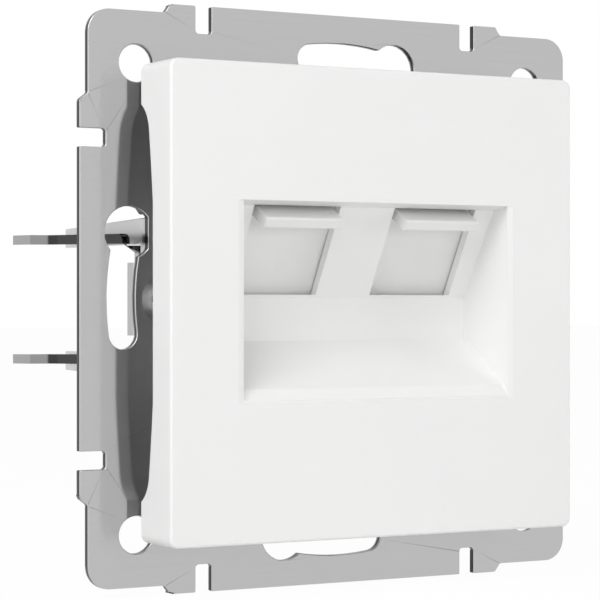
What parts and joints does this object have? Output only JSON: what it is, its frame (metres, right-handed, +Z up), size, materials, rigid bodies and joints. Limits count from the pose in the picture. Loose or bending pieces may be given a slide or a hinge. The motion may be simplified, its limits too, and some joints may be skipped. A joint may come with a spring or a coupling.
{
  "type": "double data wall outlet",
  "caption": "Flush data outlet on a square stamped steel support: white cover, slanted recess, sprung dust shutters over the jacks, and screw-driven spreading claws.",
  "frame": {"origin": "middle of the steel support's wall side, at the centre of its four corner holes", "axes": "+Y into the wall, so the front faces -Y; +X to the right seen from the front; +Z up"},
  "size_m": [0.0706, 0.0404, 0.0706],
  "materials": {
    "steel": "bright zinc-plated sheet with fine horizontal brushing",
    "white_plastic": "satin white moulded plastic",
    "shutter_plastic": "fine matt white moulded plastic",
    "guide_plastic": "matt light grey plastic",
    "spring_steel": "drawn spring wire",
    "jack_plastic": "fine matt black plastic",
    "gold_contact": "gold-flashed spring wire",
    "board": "green lacquered circuit board",
    "terminal_plastic": "matt off-white plastic",
    "terminal_blade": "tin-plated bronze strip",
    "cap_plastic": "milky translucent plastic cap",
    "carrier_plastic": "matt grey glass-filled plastic",
    "claw_steel": "dark oiled stamped steel",
    "screw_steel": "zinc-plated turned screw"
  },
  "bodies": {
    "socket": {"support_plate": "steel", "cover": "white_plastic", "shutter_guide": "guide_plastic", "jack_carrier": "carrier_plastic", "shutter_spring_left": "spring_steel", "jack_housing_left": "jack_plastic", "jack_contacts_left": "gold_contact", "jack_board_left": "board", "terminal_block_left": "terminal_plastic", "terminal_blades_left": "terminal_blade", "terminal_cap_left": "cap_plastic", "shutter_spring_right": "spring_steel", "jack_housing_right": "jack_plastic", "jack_contacts_right": "gold_contact", "jack_board_right": "board", "terminal_block_right": "terminal_plastic", "terminal_blades_right": "terminal_blade", "terminal_cap_right": "cap_plastic", "carrier_screw_top_left": "screw_steel", "carrier_screw_top_right": "screw_steel", "carrier_screw_bottom_left": "screw_steel", "carrier_screw_bottom_right": "screw_steel"},
    "left_shutter": {"shutter_left": "shutter_plastic"},
    "right_shutter": {"shutter_right": "shutter_plastic"},
    "left_claw": {"claw_left": "claw_steel"},
    "right_claw": {"claw_right": "claw_steel"},
    "left_claw_screw": {"claw_screw_left": "screw_steel"},
    "right_claw_screw": {"claw_screw_right": "screw_steel"}
  },
  "joints": [
    {"name": "shutter_left_slide", "type": "slide", "parent": "socket", "child": "left_shutter", "axis": [0, 0.4979, -0.8672], "range_m": [0, 0.0093], "stiffness_N_per_m": 60, "springref_m": -0.004, "deforming": ["shutter_spring_left"]},
    {"name": "shutter_right_slide", "type": "slide", "parent": "socket", "child": "right_shutter", "axis": [0, 0.4979, -0.8672], "range_m": [0, 0.0093], "stiffness_N_per_m": 60, "springref_m": -0.004, "deforming": ["shutter_spring_right"]},
    {"name": "claw_screw_left_turn", "type": "hinge", "parent": "socket", "child": "left_claw_screw", "pos_m": [-0.0237, 0, 0], "axis": [0, 1, 0], "range_deg": [0, 459]},
    {"name": "claw_screw_right_turn", "type": "hinge", "parent": "socket", "child": "right_claw_screw", "pos_m": [0.0237, 0, 0], "axis": [0, 1, 0], "range_deg": [0, 459]},
    {"name": "claw_left_swing", "type": "hinge", "parent": "socket", "child": "left_claw", "pos_m": [-0.0204, 0.0031, 0], "axis": [0, 0, 1], "range_deg": [0, 10.5]},
    {"name": "claw_right_swing", "type": "hinge", "parent": "socket", "child": "right_claw", "pos_m": [0.0204, 0.0031, 0], "axis": [0, 0, -1], "range_deg": [0, 10.5]}
  ],
  "couplings": [
    {"joint": "claw_left_swing", "follows": "claw_screw_left_turn", "ratio": 0.02287},
    {"joint": "claw_right_swing", "follows": "claw_screw_right_turn", "ratio": 0.02287}
  ]
}
